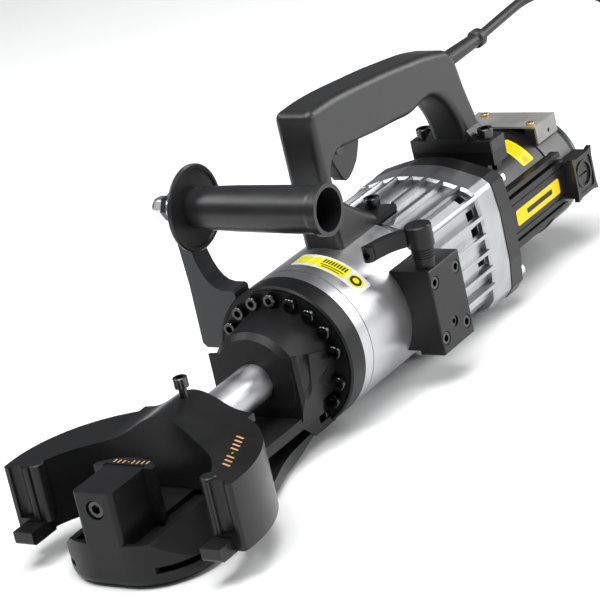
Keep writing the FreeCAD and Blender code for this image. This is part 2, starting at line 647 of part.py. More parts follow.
def handle_half():
    face = handle_outline()
    half = face.extrude(Vector(0, HANDLE_HALF, 0))
    rounded = [e for e in edges_where(half, lambda b: b.YMin > HANDLE_HALF - 0.01 and b.ZMax > 67)]
    half = half.makeFillet(6.0, rounded)
    foot = block(FOOT_X[0], FOOT_X[1], 0, FOOT_HALF, *FOOT_Z)
    foot = foot.makeChamfer(0.8, edges_where(foot, lambda b: is_upright(b) and b.YMin > 1))
    ankle = block(263.5, 287, 0, HANDLE_HALF, 60, 67)
    flare = prism_x([(0, 62), (24, 62), (HANDLE_HALF, 72), (0, 72)], 264.5, 284)
    toe = block(104, 152, 0, HANDLE_HALF, TOE_Z[0], TOE_Z[1])
    half = fuse_all([half, foot, ankle, flare, toe])
    half = half.cut(block(122.5, 160, -1, 20, 40, TOE_Z[0]))
    half = half.cut(rod_x(60, CYL_END + 0.5, FLANGE_R + GAP))

    # hollow: a room for the switch and trigger, and a wire way down the rear leg
    room = prism_y([(87, 126), (87, 146), (94, 153), (180, 148), (240, 140), (252, 130), (252, 118),
                    (226, 119), (200, 117), (156, 120), (126, 123)], -1, HANDLE_HALF - HANDLE_SKIN)
    half = half.cut(room)
    half = half.cut(prism_y([(252, 126), (262, 124), (278, 62), (268, 62), (250, 110)], -1, 8))
    half = half.cut(block(97, 143, -1, TRIGGER_HALF + GAP, 105, 128))
    half = half.cut(rod_x(262, 300, 7.0 + SLIP, 0, 124))
    half = half.cut(rod_z(40, 80, 4.0 + SLIP, TOE_SCREW_X, 0))
    half = half.cut(rod_z(50, 64, 4.0 + SLIP, *REAR_SCREW))
    half = half.cut(rod_z(FOOT_Z[1], 76, 6.5, *REAR_SCREW))
    boss = rod_y(TRIGGER_HALF + GAP, HANDLE_HALF - HANDLE_SKIN + 0.5, 4.5, *TRIGGER_PIVOT)
    half = half.fuse(boss).cut(rod_y(-1, 12, 2.0 + SLIP, *TRIGGER_PIVOT))
    return half.removeSplitter()


def handle_halves():
    half = handle_half()
    save("handle_half_right", half)
    save("handle_half_left", mirrored(half))


def handle_parts():
    x, z = TRIGGER_PIVOT
    outline = [
        (98.5, 126), (99.0, 117.5), (102.0, 108), (107.5, 97.5), (110, 94), (113, 92.5), (118, 93.0),
        (124, 96), (131, 101.5), (136.5, 110), (138.5, 118), (126, 121), (108, 126),
    ]
    trigger = prism_y(outline, -TRIGGER_HALF, TRIGGER_HALF)
    lower = edges_where(trigger, lambda b: b.YLength < 0.01 and b.ZMax < 118 and b.ZMin > 91)
    trigger = trigger.makeChamfer(0.8, lower)
    trigger = trigger.cut(rod_y(-10, 10, 2.0 + SLIP, x, z))
    trigger = trigger.cut(rod_z(116, 130, 4.2, 124, 0))
    save("trigger", trigger)
    save("trigger_pin", rod_y(-11.5, 11.5, 2.0, x, z))
    switch = slab(112, 168, 9.0, 131.5, 146)
    switch = switch.cut(rod_z(131, 133, 3.6, 124, 0))
    save("trigger_switch", switch)
    save("trigger_spring", helix_z(116.2, 132.8, 2.9, 0.5, 5, 124, 0))

    pedestal = slab(FOOT_X[0] + 0.5, FOOT_X[1] - 0.5, FOOT_HALF - 0.5, 0, FOOT_Z[0])
    pedestal = pedestal.cut(rod_x(250, 300, MOTOR_R + SLIP))
    pedestal = pedestal.common(slab(250, 300, 60, 43.5, 80).fuse(slab(250, 300, 30, 26, 80)))
    pedestal = pedestal.cut(both_sides(rod_z(30, 60, 4.0 + SLIP, *REAR_SCREW)))
    save("handle_pedestal", pedestal)
    pad = slab(122.8, 151.5, HANDLE_HALF - 0.5, HOUSING_PAD_Z, TOE_Z[0])
    save("handle_front_pad", pad.cut(rod_z(40, 60, 4.0 + SLIP, TOE_SCREW_X, 0)))


def m8_screws():
    """The three screws that hold the top handle, all M8 x 22."""
    places = [(TOE_SCREW_X, 0, TOE_Z[1])]
    places += [(REAR_SCREW[0], side * REAR_SCREW[1], FOOT_Z[1]) for side in (-1, 1)]
    screws = []
    for place in places:
        screw = cap_screw(Vector(*place), Vector(0, 0, -1), 6.2, 8.0, 4.0, 22)
        screws.append(screw)
    save("m8_screws", *screws)


# ---- pump housing and pump ----
def octagon(half, cut=10.0):
    """The housing's section: flat sides, a raised middle and bevelled corners."""
    right = [
        (half, 20), (half - 3, 44), (half - cut, 49.5), (30, 55), (14, 59), (0, 59.5),
    ]
    low = [(14, BASE_Z), (30, -56), (half - cut, -50), (half - 3, -42), (half, -20)]
    top = right + [(-y, z) for y, z in reversed(right[:-1])]
    bottom = [(-y, z) for y, z in reversed(low)] + low
    return top + bottom


def scaled(points, k):
    return [(y * k, z * k) for y, z in points]


def pump_housing():
    section = octagon(HOUSING_HALF)
    envelope = prism_x(section, CYL_END - 1, HOUSING_END)
    corners = edges_where(envelope, lambda b: b.XLength > 50 and abs(b.YMin) > HOUSING_HALF - 11)
    envelope = envelope.makeFillet(6.0, corners)
    band = envelope.common(slab(HOUSING_RIBS_END, HOUSING_END, 80, -80, 80))
    rim = edges_where(band, lambda b: b.XMax < HOUSING_RIBS_END + 0.01)
    band = band.makeChamfer(2.0, rim)
    core = prism_x(scaled(section, 0.90), BLOCK_X[1] + GAP, HOUSING_RIBS_END + 3)
    core = core.fuse(rod_x(CYL_END, BLOCK_X[1] + 1, 52.0))
    ribs = []
    for turn in RIB_ANGLES:
        rib = prism_y([(CYL_END + 7, 42), (CYL_END + 7, 56), (CYL_END + 16, 80), (HOUSING_RIBS_END + 3, 80),
                       (HOUSING_RIBS_END + 3, 42)], -1.4, 1.4)
        rib.rotate(Vector(0, 0, 0), Vector(1, 0, 0), turn)
        ribs.append(rib)
    body = fuse_all([core, band] + ribs)
    body = body.common(envelope)
    pad = slab(CYL_END + 1, 152, 17, 40, HOUSING_PAD_Z)
    foot = slab(150, HOUSING_END - 3, 22, BASE_Z, -50)
    body = fuse_all([body, pad, foot]).cut(slab(CYL_END - 1, 152.3, 17.3, HOUSING_PAD_Z, 70))

    room = prism_x(scaled(section, 0.80), CYL_END + 5, HOUSING_END - 6)
    body = body.cut(room)
    body = body.cut(rod_x(HOUSING_END - 8, HOUSING_END + 1, 40.0))
    body = body.cut(rod_x(CYL_END - 1, CYL_END + 6, 47.0))
    # breather slots against the smooth band, in the valleys between the ribs
    for turn in VENT_ANGLES:
        vent = block(190, 199, -3.2, 3.2, 40, 80)
        vent.rotate(Vector(0, 0, 0), Vector(1, 0, 0), turn)
        body = body.cut(both_sides(vent))
    body = body.cut(rod_z(30, 60, 4.0 + SLIP, TOE_SCREW_X, 0))
    for y, z in plate_screw_places():
        body = body.cut(rod_x(HOUSING_END - 14, HOUSING_END + 1, 2.5 + SLIP, y, z))
    save("pump_housing", body.removeSplitter())


def plate_screw_places():
    return [(side * y, z) for side in (-1, 1) for y, z in ((50.0, 40.5), (51.0, -36.0))]


def motor_plate():
    """The dark ring between the pump housing and the motor; it carries two bearings."""
    body = prism_x(octagon(HOUSING_HALF + 0.6), HOUSING_END, PLATE_END)
    boss = rod_x(PLATE_END, PLATE_END + 3, MOTOR_R + 2.5)
    rim = edges_where(body, lambda b: b.XMin > PLATE_END - 0.01)
    body = fuse_all([body.makeChamfer(1.5, rim), boss])
    body = body.cut(rod_x(232, PLATE_END + 4, 38.0))
    body = body.cut(rod_x(HOUSING_END - 1, 233, 9.0))
    body = body.cut(rod_x(HOUSING_END - 1, 229.1, 11.0 + 0.01, 0, -SHAFT_DROP))
    seat = ring_x(231, 240, 17.0, 13.0 + 0.01)
    body = body.fuse(seat).cut(rod_x(231, 241, 13.01))
    for y, z in plate_screw_places():
        body = body.cut(rod_x(HOUSING_END - 1, PLATE_END + 1, 2.5 + SLIP, y, z))
    save("motor_plate", body.removeSplitter())


def pump():
    """A radial plunger pump: an eccentric shaft, geared down from the motor."""
    drop = -SHAFT_DROP
    body = rod_x(CYL_END, 146, 46.0)
    top_clear = slab(CYL_END + 5, 150, 60, 34, 70)
    body = body.cut(top_clear)
    body = body.cut(rod_x(136, 147, 11.0 + 0.01, 0, drop))
    body = body.cut(rod_x(CYL_END - 1, 138, 3.0, 0, 20))
    for y, z in pump_screw_places():
        body = body.cut(rod_x(CYL_END - 1, 147, M6_R + SLIP, y, z))
        body = body.cut(rod_x(140, 147, M6_HEAD_R + 0.5, y, z))
    tower = block(146, 172, -10, 10, -9.5, 20)
    body = body.fuse(tower).cut(rod_z(-12, 13, 4.0 + 0.02, 165, 0))
    body = body.cut(rod_z(-9.6, -5, 7.0, 165, 0))
    save("pump_block", body.removeSplitter())
    save("pump_plunger", rod_z(drop + ECCENTRICITY + 13.0 + GAP, 8.0, 4.0, 165, 0))

    shaft = fuse_all([rod_x(136.5, 228.5, 5.0, 0, drop), rod_x(148, 207, 6.5, 0, drop)])
    shaft = shaft.fuse(rod_x(160, 170, 13.0, 0, drop + ECCENTRICITY)).removeSplitter()
    save("eccentric_shaft", shaft)
    gear = spur_gear(GEAR_TEETH, 208.5, 216.5, 0, drop, 5.0, 0.0)
    save("reduction_gear", gear)
    front = ring_x(136, 142.0, 11.0, 5.0 + 0.02, 0, drop)
    rear = ring_x(HOUSING_END, 229.0, 11.0, 5.0 + 0.02, 0, drop)
    save("eccentric_bearings", front, rear)


def spur_gear(teeth, x0, x1, y, z, bore_r, phase):
    """A spur gear with straight-flanked teeth, thin enough to leave backlash."""
    pitch_r = teeth * MODULE / 2
    outer_r = pitch_r + 0.85 * MODULE
    root_r = pitch_r - 1.2 * MODULE
    step = 2 * math.pi / teeth
    widths = ((root_r, 0.34), (pitch_r, 0.21), (outer_r, 0.10))
    points = []
    for k in range(teeth):
        middle = phase + k * step
        for r, w in widths:
            points.append((r, middle - w * step))
        for r, w in reversed(widths):
            points.append((r, middle + w * step))
    outline = [(y + r * math.cos(a), z + r * math.sin(a)) for r, a in points]
    gear = prism_x(outline, x0, x1)
    return gear.cut(rod_x(x0 - 1, x1 + 1, bore_r, y, z))


# ---- motor ----
def motor_casing():
    body = rod_x(PLATE_END + 3, CASING_END, MOTOR_R)
    body = fuse_all([body] + side_pads(PLATE_END + 3, CASING_END))
    body = body.cut(rod_x(PLATE_END, CASING_END + 1, MOTOR_INNER_R))
    save("motor_casing", body)


def side_pads(x0, x1):
    """On each side a flat pad with a sunk face, and a thin ledge above and below it."""
    pad = block(x0, x1, 30, 48.5, -15, 17.5)
    groove = block(x0 - 1, x1 + 1, 47.6, 50, 11.5, 12.7).fuse(block(x0 - 1, x1 + 1, 47.6, 50, -11.2, -10))
    pad = pad.cut(groove)
    upper = block(x0, x1, 36.0, 47.2, 20.0, 24.0)
    lower = block(x0, x1, 36.0, 46.8, -22.0, -18.5)
    pads = [pad, upper, lower]
    return pads + [mirrored(p) for p in pads]


def brush_rim():
    """A raised rim round the brush housing's face, drawn out to a point at each corner."""
    x0, x1 = BRUSH_BOX_FRONT, 370.0
    outline = [
        (x0 - 1.5, 17.5), (x0 + 5, 15.6), (x1 - 5, 15.6), (x1 + 2.0, 17.8), (x1 + 0.6, 10), (x1 + 0.6, -11),
        (x1 + 2.0, -18.5), (x1 - 5, -16.6), (x0 + 5, -16.6), (x0 - 1.5, -18.3), (x0 - 0.3, -11), (x0 - 0.3, 10),
    ]
    rim = prism_y(outline, BRUSH_FACE_Y - 4.2, BRUSH_FACE_Y)
    face = block(x0 + 2.2, x1 - 1.8, BRUSH_FACE_Y - 1.2, BRUSH_FACE_Y + 1, -13.6, 12.8)
    face = face.makeFillet(4.0, edges_where(face, lambda b: b.XLength < 0.01 and b.ZLength < 0.01))
    ring = rod_y(BRUSH_FACE_Y - 1.3, BRUSH_FACE_Y - 0.2, 11.4, BRUSH_X, 0)
    return rim.cut(face).fuse(ring)


def motor_end():
    """The end cover, with a square housing on each side for a carbon brush."""
    shape = [
        (CASING_END, MOTOR_R + 0.9), (CASING_END + 3.5, MOTOR_R + 0.9), (CASING_END + 4.2, MOTOR_R),
        (366, MOTOR_R), (371, 45.2), (377, 43.0), (383, 39.0), (388, 33.0), (X_TAIL, 27.0),
    ]
    cover = revolve_x(shape)
    cover = fuse_all([cover] + side_pads(CASING_END, BRUSH_BOX_FRONT + 1))
    for side in (-1, 1):
        y0, y1 = sorted((side * 30.0, side * (BRUSH_FACE_Y - 1.2)))
        cover = cover.fuse(block(BRUSH_BOX_FRONT, 370, y0, y1, -16, 15))
        rim = brush_rim()
        cover = cover.fuse(rim if side > 0 else mirrored(rim))
    cover = cover.cut(rod_x(CASING_END - 1, 368, MOTOR_INNER_R - 1))
    seat = ring_x(366, 376, 16.0, 11.01)
    cover = cover.cut(rod_x(366, 376.1, 11.01)).fuse(seat)
    for x, y in COVER_SCREWS:
        cover = cover.fuse(block(x - 4.5, x + 5, y - 4, y + 4, 30, COVER_Z))
        cover = cover.cut(rod_z(36, 50, 1.7, x, y))
    guide = both_sides(block(BRUSH_X - 8, BRUSH_X + 8, 24, 50, -8, 8))
    cover = cover.fuse(guide)
    cover = cover.cut(both_sides(rod_y(50.0, 70.0, 9.5, BRUSH_X, 0)))
    cover = cover.cut(both_sides(block(BRUSH_X - 4.1, BRUSH_X + 4.1, 20, 51, -4.1, 4.1)))
    for angle in range(0, 360, 45):
        turn = math.radians(angle + 22.5)
        slot = block(374, X_TAIL + 1, -2.2, 2.2, 20, 31)
        slot.rotate(Vector(0, 0, 0), Vector(1, 0, 0), math.degrees(turn))
        cover = cover.cut(slot)
    save("motor_end_cover", cover.removeSplitter())

    cap = rod_y(50.0, 56.8, 9.45, BRUSH_X, 0)
    cap = cap.cut(block(BRUSH_X - 6, BRUSH_X + 6, 55.2, 58, -0.8, 0.8))
    save("brush_caps", cap, mirrored(cap))
    brush = block(BRUSH_X - 4, BRUSH_X + 4, 16.1, 36.0, -4, 4)
    save("carbon_brushes", brush, mirrored(brush))


def motor_inside():
    stator = ring_x(262, 322, MOTOR_INNER_R - 0.02, 28.5)
    for angle in range(0, 360, 15):
        slot = block(261, 323, -1.6, 1.6, 27, 37)
        slot.rotate(Vector(0, 0, 0), Vector(1, 0, 0), angle)
        stator = stator.cut(slot)
    save("stator", stator)

    pinion = spur_gear(PINION_TEETH, 207.5, 217.5, 0, 0, 1.0, math.pi / 2 + math.pi / PINION_TEETH)
    shaft = fuse_all([
        pinion, rod_x(205, 222, 4.0), rod_x(219, 231, 4.5), rod_x(231, 240, 6.0), rod_x(240, 366, 7.0),
        rod_x(366, 374, 5.0),
    ])
    core = rod_x(264, 320, 28.0)
    for angle in range(0, 360, 30):
        slot = block(263, 321, -2, 2, 16, 26)
        slot.rotate(Vector(0, 0, 0), Vector(1, 0, 0), angle)
        core = core.cut(slot)
    commutator = rod_x(345, 365.5, 16.0)
    save("armature_shaft", shaft)
    save("armature_core", core.cut(rod_x(260, 330, 7.0)))
    save("commutator", commutator.cut(rod_x(340, 368, 7.0)))

    fan = ring_x(247, 250, 34.0, 7.0).fuse(ring_x(247, 258, 12.0, 7.0))
    for angle in range(0, 360, 40):
        blade = block(249, 259, -0.9, 0.9, 11, 34)
        blade.rotate(Vector(0, 0, 0), Vector(1, 0, 0), angle)
        fan = fan.fuse(blade)
    save("cooling_fan", fan.removeSplitter())
    front = ring_x(231, 239, 13.0, 6.0 + 0.02)
    rear = ring_x(366.3, 373.5, 11.0, 5.0 + 0.02)
    save("motor_bearings", front, rear)


def top_cover():
    """A folded plate on the motor's top, held down on the end cover by two screws."""
    top_z = COVER_Z + 1.6
    plate = slab(COVER_X[0], COVER_X[1], COVER_HALF, COVER_Z, top_z)
    flange = both_sides(block(COVER_X[0] + 1, COVER_X[1] + 1, COVER_HALF - 1.6, COVER_HALF, 33.2, top_z))
    body = fuse_all([plate, flange])
    for x, y in COVER_SCREWS:
        body = body.cut(rod_z(40, 60, 1.7, x, y))
    body = body.cut(both_sides(rod_y(COVER_HALF - 3, COVER_HALF + 1, 1.8, 352.5, 38.5)))
    save("motor_top_cover", body.removeSplitter())
    screws = []
    for x, y in COVER_SCREWS:
        head = rod_z(top_z, top_z + 2.4, 3.4, x, y)
        rims = edges_where(head, lambda b: b.ZMin > top_z + 2 and b.YLength > 1)
        head = head.makeFillet(1.1, rims)
        head = head.cut(block(x - 5, x + 5, y - 0.5, y + 0.5, top_z + 1.3, top_z + 3))
        screws.append(head.fuse(rod_z(37, top_z, 1.65, x, y)))
    save("cover_screws", *screws)


# ---- screws shared by size ----
def m6_screws():
    """Valve block and pump block screws, all M6 x 25."""
    screws = []
    for x, z in block_screw_places():
        seat = Vector(x, BLOCK_Y + 6, z)
        screws.append(cap_screw(seat, Vector(0, 1, 0), M6_HEAD_R, M6_HEAD_H, M6_R, 25))
    for y, z in pump_screw_places():
        seat = Vector(140, y, z)
        screws.append(cap_screw(seat, Vector(-1, 0, 0), M6_HEAD_R, M6_HEAD_H, M6_R, 25))
    save("m6_screws", *screws)


def m5_screws():
    """The four screws through the motor plate into the pump housing, all M5 x 30."""
    screws = []
    for y, z in plate_screw_places():
        screws.append(cap_screw(Vector(PLATE_END, y, z), Vector(-1, 0, 0), 4.4, 5.2, 2.5, 30))
    save("m5_screws", *screws)


# ---- cord ----
def cord_tube(route, r):
    """A tube along straight runs joined by arcs as large as the runs allow."""
    points = [Vector(*p) for p in route]
    edges = []
    radii = []
    start = points[0]
    length = 0.0
    for before, corner, after in zip(points, points[1:], points[2:]):
        into = (corner - before).normalize()
        away = (after - corner).normalize()
        turn = into.getAngle(away)
        back = 0.45 * min(corner.distanceToPoint(before), corner.distanceToPoint(after))
        radius = back / math.tan(turn / 2)
        radii.append(radius)
        first = corner - into * back
        last = corner + away * back
        inward = (away - into).normalize()
        centre_gap = radius / math.cos(turn / 2)
        middle = corner + inward * (centre_gap - radius)
        edges.append(Part.LineSegment(start, first).toShape())
        edges.append(Part.Arc(first, middle, last).toShape())
        length += start.distanceToPoint(first) + radius * turn
        start = last
    edges.append(Part.LineSegment(start, points[-1]).toShape())
    length += start.distanceToPoint(points[-1])
    path = Part.Wire(edges)
    heading = (points[1] - points[0]).normalize()
    profile = Part.Wire(Part.makeCircle(r, points[0], heading))
    tube = path.makePipeShell([profile], True, False)
    tube = Part.Solid(tube) if tube.ShapeType == "Shell" else tube
    print("cord radii:", [round(v) for v in radii])
    print("cord length %.1f, volume ratio %.4f" % (length, tube.Volume / (math.pi * r * r * length)))
    return tube


def cord():
    relief = revolve_x([(263, 6.9), (276, 6.9), (280, 6.6), (326, 5.6), (328, 7.4), (334, 7.4), (337, 5.4)],
                       0, 124)
    save("strain_relief", relief)
    save("power_cord", cord_tube(CORD_ROUTE, CORD_R))
    x, y = COIL_CENTRE
    coil = rod_z(BASE_Z, BASE_Z + COIL_HEIGHT, COIL_OUTER_R, x, y)
    coil = coil.cut(rod_z(BASE_Z - 1, BASE_Z + COIL_HEIGHT + 1, COIL_INNER_R, x, y))
    round_edges = edges_where(coil, lambda b: b.ZLength < 0.01 and b.XLength > 1)
    save("cord_coil", coil.makeFillet(3.9, round_edges))

    # the plug lies on the coil, its tail dipping into the turns
    top = BASE_Z + COIL_HEIGHT
    z = top + 12.0
    tail = cone_x(x - 44, x - 22, 4.6, 8.0, y + 6, z)
    body = block(x - 22, x + 12, y - 10, y + 22, top, z + 12)
    body = body.makeFillet(6.0, edges_where(body, lambda b: b.XLength > 30))
    pins = []
    for py, pz in ((y - 3.5, z), (y + 15.5, z)):
        pins.append(rod_x(x + 11, x + 31, 2.4, py, pz))
    save("plug", fuse_all([body, tail] + pins))


def build():
    frame_casting()
    flange_bolts()
    gland()
    former()
    ram()
    u_head()
    cylinder_body()
    valve_block()
    release_valve()
    side_bracket()
    side_grip()
    handle_halves()
    handle_parts()
    pump_housing()
    motor_plate()
    pump()
    motor_casing()
    motor_end()
    motor_inside()
    top_cover()
    m6_screws()
    m5_screws()
    m8_screws()
    cord()


build()
os.makedirs("parts", exist_ok=True)
for name, shape in made.items():
    bad = [s for s in shape.Solids if not s.isValid() or s.Volume <= 0]
    note = "INVALID" if bad else ""
    print("%-22s solids %2d  volume %10.1f %s" % (name, len(shape.Solids), shape.Volume, note))
    shape.exportStep("parts/%s.step" % name)
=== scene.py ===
import json
import math

import bmesh
import bpy
from mathutils import Matrix, Vector


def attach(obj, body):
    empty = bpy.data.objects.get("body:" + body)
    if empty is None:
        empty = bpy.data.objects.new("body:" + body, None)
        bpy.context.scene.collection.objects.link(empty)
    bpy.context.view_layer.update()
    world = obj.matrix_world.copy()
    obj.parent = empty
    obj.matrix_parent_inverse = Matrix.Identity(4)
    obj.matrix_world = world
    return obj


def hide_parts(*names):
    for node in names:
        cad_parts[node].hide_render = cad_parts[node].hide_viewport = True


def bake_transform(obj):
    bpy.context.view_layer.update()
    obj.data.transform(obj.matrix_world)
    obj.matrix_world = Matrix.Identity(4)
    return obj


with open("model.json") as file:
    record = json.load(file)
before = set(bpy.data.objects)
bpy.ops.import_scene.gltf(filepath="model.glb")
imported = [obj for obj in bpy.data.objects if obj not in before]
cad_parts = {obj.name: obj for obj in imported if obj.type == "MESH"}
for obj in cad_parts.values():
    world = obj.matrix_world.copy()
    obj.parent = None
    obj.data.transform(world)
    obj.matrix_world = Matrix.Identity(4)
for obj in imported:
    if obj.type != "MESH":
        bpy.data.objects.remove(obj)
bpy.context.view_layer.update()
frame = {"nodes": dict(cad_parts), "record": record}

NODES = frame["nodes"]
SLOTS = {s["node"]: s["material_slot"] for s in frame["record"]["subparts"]}

# Sizes on the tool are millimetres on its own axes: X along the ram, Z up, and the origin on the
# cylinder's axis at the front of its flange. The row frame's origin lies at this X and Z on them.
ROW_X, ROW_Z = 75.0, -60.0
MM_PER_M = 1000


def at(x, y, z):
    """Metres in the row frame from millimetres on the tool's own axes."""
    return Vector(((x - ROW_X) / MM_PER_M, y / MM_PER_M, (z - ROW_Z) / MM_PER_M))


# ---------------------------------------------------------------- camera, in row metres
EYE = Vector((-1.80538, -1.34021, 0.91547))
AIM = Vector((-0.9447, -0.6855, 0.5132))
ROLL_DEGREES = -12.88
LENS_MM = 195.13
SENSOR_MM = 36
FAR_CLIP_M = 30


def build_camera():
    """The photograph's viewpoint, with the picture rolled about the line of sight."""
    data = bpy.data.cameras.new("camera")
    data.lens = LENS_MM
    data.sensor_width = SENSOR_MM
    data.clip_end = FAR_CLIP_M
    camera = bpy.data.objects.new("camera", data)
    bpy.context.scene.collection.objects.link(camera)
    forward = (AIM - EYE).normalized()
    level = forward.cross(Vector((0, 0, 1))).normalized()
    upright = level.cross(forward)
    roll = math.radians(ROLL_DEGREES)
    right = level * math.cos(roll) + upright * math.sin(roll)
    above = upright * math.cos(roll) - level * math.sin(roll)
    turn = Matrix((right, above, -forward)).transposed().to_4x4()
    camera.matrix_world = Matrix.Translation(EYE) @ turn
    bpy.context.scene.camera = camera


build_camera()

# ---------------------------------------------------------------- materials
NOISE_MIDDLE = (0.3, 0.7)       # where most of a noise's values lie
GLOSS_MIDDLE = (0.25, 0.75)     # the same, for the finer noise that sets the gloss
GLOSS_PER_TONE = 4.0            # patches of gloss to one patch of tone
COAT_ROUGHNESS = 0.12
GROOVE_SHADE = 0.86             # tone of a lathe's grooves beside the metal between them
GROOVE_MM = 0.03
LATHE_BANDS = (90, 3, 3)        # stretch of the slow bands of gloss along a turned piece


def new_material(name):
    material = bpy.data.materials.new(name)
    material.use_nodes = True
    tree = material.node_tree
    return material, tree.nodes, tree.links, tree.nodes["Principled BSDF"]


def noise(nodes, links, scale, detail, stretch=(1, 1, 1), rough=0.55):
    """Noise on the piece's own coordinates, stretched along an axis if asked."""
    coordinates = nodes.new("ShaderNodeTexCoord")
    mapping = nodes.new("ShaderNodeMapping")
    mapping.inputs["Scale"].default_value = stretch
    texture = nodes.new("ShaderNodeTexNoise")
    texture.inputs["Scale"].default_value = scale
    texture.inputs["Detail"].default_value = detail
    texture.inputs["Roughness"].default_value = rough
    links.new(coordinates.outputs["Object"], mapping.inputs["Vector"])
    links.new(mapping.outputs["Vector"], texture.inputs["Vector"])
    return texture.outputs["Fac"]


def remap(nodes, links, value, source, target):
    """The value with its source range taken linearly to the target range."""
    node = nodes.new("ShaderNodeMapRange")
    node.inputs["From Min"].default_value, node.inputs["From Max"].default_value = source
    node.inputs["To Min"].default_value, node.inputs["To Max"].default_value = target
    links.new(value, node.inputs["Value"])
    return node.outputs["Result"]


def two_tone(nodes, links, value, first, second):
    """A colour between the two, as the noise's value says."""
    mix = nodes.new("ShaderNodeMix")
    mix.data_type = "RGBA"
    mix.inputs["A"].default_value = (*first, 1)
    mix.inputs["B"].default_value = (*second, 1)
    links.new(remap(nodes, links, value, NOISE_MIDDLE, (0.0, 1.0)), mix.inputs["Factor"])
    return mix.outputs["Result"]


def bump(nodes, links, height, strength, height_mm):
    node = nodes.new("ShaderNodeBump")
    node.inputs["Strength"].default_value = strength
    node.inputs["Distance"].default_value = height_mm / MM_PER_M
    links.new(height, node.inputs["Height"])
    return node.outputs["Normal"]


def surface(name, tones, rough, metallic=0.0, specular=0.36, coat=0.0, grain=900.0, depth=0.15,
            grain_mm=0.05, patches=14.0, rough_span=0.08):
    """A finish with slow patches of tone, uneven gloss and a fine grain in relief."""
    material, nodes, links, shader = new_material(name)
    colour = two_tone(nodes, links, noise(nodes, links, patches, detail=3.0), *tones)
    links.new(colour, shader.inputs["Base Color"])
    uneven = noise(nodes, links, patches * GLOSS_PER_TONE, detail=5.0)
    gloss = (rough - rough_span / 2, rough + rough_span / 2)
    links.new(remap(nodes, links, uneven, GLOSS_MIDDLE, gloss), shader.inputs["Roughness"])
    shader.inputs["Metallic"].default_value = metallic
    shader.inputs["Specular IOR Level"].default_value = specular
    shader.inputs["Coat Weight"].default_value = coat
    shader.inputs["Coat Roughness"].default_value = COAT_ROUGHNESS
    relief = bump(nodes, links, noise(nodes, links, grain, detail=3.0), depth, grain_mm)
    links.new(relief, shader.inputs["Normal"])
    return material


def turned(name, colour, rough, rings, depth):
    """Bright steel with the fine rings that a lathe leaves round the X axis."""
    material, nodes, links, shader = new_material(name)
    fine = noise(nodes, links, 1.0, detail=6.0, stretch=rings, rough=0.75)
    broad = noise(nodes, links, 1.0, detail=2.0, stretch=LATHE_BANDS)
    groove = tuple(channel * GROOVE_SHADE for channel in colour)
    links.new(two_tone(nodes, links, fine, groove, colour), shader.inputs["Base Color"])
    gloss = remap(nodes, links, broad, NOISE_MIDDLE, (rough - 0.04, rough + 0.06))
    links.new(gloss, shader.inputs["Roughness"])
    shader.inputs["Metallic"].default_value = 1.0
    shader.inputs["Anisotropic"].default_value = 0.35
    links.new(bump(nodes, links, fine, depth, GROOVE_MM), shader.inputs["Normal"])
    return material


